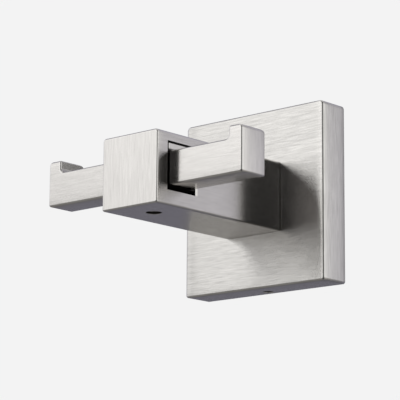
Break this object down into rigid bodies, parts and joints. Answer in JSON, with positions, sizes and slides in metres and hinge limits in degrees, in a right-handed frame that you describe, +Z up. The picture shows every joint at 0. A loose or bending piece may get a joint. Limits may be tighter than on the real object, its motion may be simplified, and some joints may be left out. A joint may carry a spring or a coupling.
{
  "type": "double robe hook",
  "caption": "Square wall flange with a square post that carries a two-ended hook bar through a slot near its front, in brushed metal.",
  "frame": {"origin": "centre of the wall plane, midway between the two wall screw slots of the bracket", "axes": "+X to the right along the hook bar, +Y into the wall, -Y out of the wall along the post, +Z up"},
  "size_m": [0.0706, 0.0604, 0.0508],
  "materials": {
    "brushed_nickel": "satin brushed nickel, brush lines along each face",
    "screw_steel": "plain steel, dull",
    "zinc_plated_steel": "zinc plated, matt"
  },
  "bodies": {
    "root": {"wall_flange": "brushed_nickel", "post": "brushed_nickel", "hook_bar": "brushed_nickel", "hook_set_screw": "screw_steel", "flange_set_screw": "screw_steel", "post_screw": "screw_steel", "post_washer": "zinc_plated_steel", "wall_bracket": "zinc_plated_steel"}
  },
  "joints": []
}
